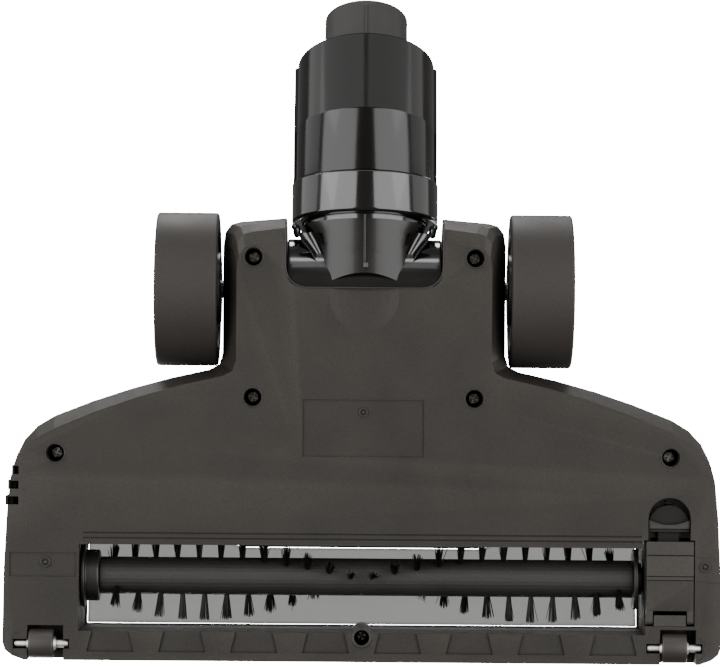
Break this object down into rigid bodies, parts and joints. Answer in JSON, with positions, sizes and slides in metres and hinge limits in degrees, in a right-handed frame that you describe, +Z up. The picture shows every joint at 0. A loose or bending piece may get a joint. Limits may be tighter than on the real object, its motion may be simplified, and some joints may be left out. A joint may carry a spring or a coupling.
{
  "type": "powered floor nozzle",
  "caption": "Motorised floor nozzle of a stick vacuum: belt-driven bristle roll under a clear window, rear wheels, front rollers and a pitching, swivelling neck.",
  "frame": {"origin": "on the floor, under the middle of the bounding box", "axes": "+Z up, +X to the drive side along the brush roll, +Y towards the neck, so the brush opening is near -Y"},
  "size_m": [0.269, 0.2505, 0.0772],
  "materials": {
    "sole_plastic": "fine-textured moulded plastic",
    "cover_plastic": "satin moulded plastic",
    "clear_window": "smoky clear plastic",
    "steel": "turned steel",
    "screw_steel": "dark plated steel",
    "roller_plastic": "moulded plastic",
    "hub_plastic": "satin moulded plastic",
    "tyre_rubber": "smooth matte rubber",
    "core_plastic": "speckled moulded plastic",
    "bristle": "stiff nylon bristle",
    "cap_plastic": "moulded plastic",
    "pulley_plastic": "moulded plastic",
    "belt_rubber": "ribbed rubber",
    "motor_can": "drawn steel can",
    "duct_plastic": "moulded plastic",
    "board": "lacquered circuit board",
    "lead_sleeve": "flexible sleeve",
    "barrel_plastic": "polished moulded plastic",
    "funnel_plastic": "satin moulded plastic",
    "neck_plastic": "polished moulded plastic",
    "stub_plastic": "satin moulded plastic",
    "contact_plastic": "moulded plastic",
    "brass": "plated contact",
    "bearing_metal": "sintered bush"
  },
  "bodies": {
    "housing": {"sole_plate": "sole_plastic", "top_cover": "cover_plastic", "brush_window": "clear_window", "suction_duct": "duct_plastic", "latch_spring": "steel", "idle_bearing": "bearing_metal", "drive_bearing": "bearing_metal", "drive_belt": "belt_rubber", "drive_motor": "motor_can", "motor_clamp": "duct_plastic", "circuit_board": "board", "motor_lead": "lead_sleeve", "screw_ear_left": "screw_steel", "screw_ear_right": "screw_steel", "screw_middle_left": "screw_steel", "screw_middle_right": "screw_steel", "screw_side_left": "screw_steel", "screw_side_right": "screw_steel", "screw_front": "screw_steel", "roller_axle_left": "steel", "wheel_axle_left": "steel", "roller_axle_right": "steel", "wheel_axle_right": "steel"},
    "brush_roll": {"brush_core": "core_plastic", "bristle_row_a": "bristle", "bristle_row_b": "bristle", "drive_end_cap": "cap_plastic", "idle_end_cap": "cap_plastic", "brush_pulley": "pulley_plastic"},
    "motor_rotor": {"motor_spindle": "steel", "motor_pulley": "pulley_plastic"},
    "yoke": {"yoke_barrel": "barrel_plastic", "yoke_cover": "funnel_plastic"},
    "neck": {"swivel_collar": "neck_plastic", "neck_lower_shell": "neck_plastic", "neck_upper_shell": "neck_plastic", "connector_stub": "stub_plastic", "contact_block": "contact_plastic", "contact_pin_left": "brass", "contact_pin_right": "brass", "neck_liner": "duct_plastic"},
    "wheel_right": {"wheel_hub_right": "hub_plastic", "wheel_tyre_right": "tyre_rubber"},
    "wheel_left": {"wheel_hub_left": "hub_plastic", "wheel_tyre_left": "tyre_rubber"},
    "roller_right": {"front_roller_right": "roller_plastic"},
    "roller_left": {"front_roller_left": "roller_plastic"},
    "cap": {"bearing_cap": "sole_plastic"},
    "latch": {"release_latch": "sole_plastic"}
  },
  "joints": [
    {"name": "brush_spin", "type": "hinge", "parent": "housing", "child": "brush_roll", "pos_m": [0, -0.09456, 0.018], "axis": [1, 0, 0], "continuous": true},
    {"name": "motor_spin", "type": "hinge", "parent": "housing", "child": "motor_rotor", "pos_m": [0, -0.06066, 0.024], "axis": [1, 0, 0], "continuous": true},
    {"name": "neck_pitch", "type": "hinge", "parent": "housing", "child": "yoke", "pos_m": [0, 0.01324, 0.029], "axis": [1, 0, 0], "range_deg": [0, 68]},
    {"name": "neck_swivel", "type": "hinge", "parent": "yoke", "child": "neck", "pos_m": [0, 0.01324, 0.029], "axis": [0, 0.9848, 0.1736], "range_deg": [-80, 80]},
    {"name": "wheel_right_spin", "type": "hinge", "parent": "housing", "child": "wheel_right", "pos_m": [0.0667, 0.01324, 0.029], "axis": [1, 0, 0], "continuous": true},
    {"name": "wheel_left_spin", "type": "hinge", "parent": "housing", "child": "wheel_left", "pos_m": [-0.0667, 0.01324, 0.029], "axis": [1, 0, 0], "continuous": true},
    {"name": "roller_right_spin", "type": "hinge", "parent": "housing", "child": "roller_right", "pos_m": [0.1191, -0.11926, 0.0055], "axis": [1, 0, 0], "continuous": true},
    {"name": "roller_left_spin", "type": "hinge", "parent": "housing", "child": "roller_left", "pos_m": [-0.1162, -0.11926, 0.0055], "axis": [1, 0, 0], "continuous": true},
    {"name": "bearing_cap_hinge", "type": "hinge", "parent": "housing", "child": "cap", "pos_m": [-0.11445, -0.10916, 0.0045], "axis": [-1, 0, 0], "range_deg": [0, 60]},
    {"name": "latch_slide", "type": "slide", "parent": "housing", "child": "latch", "axis": [0, 1, 0], "range_m": [0, 0.0025], "stiffness_N_per_m": 300, "springref_m": -0.001, "deforming": ["latch_spring"]}
  ],
  "couplings": [
    {"joint": "motor_spin", "follows": "brush_spin", "ratio": 1.7143}
  ]
}
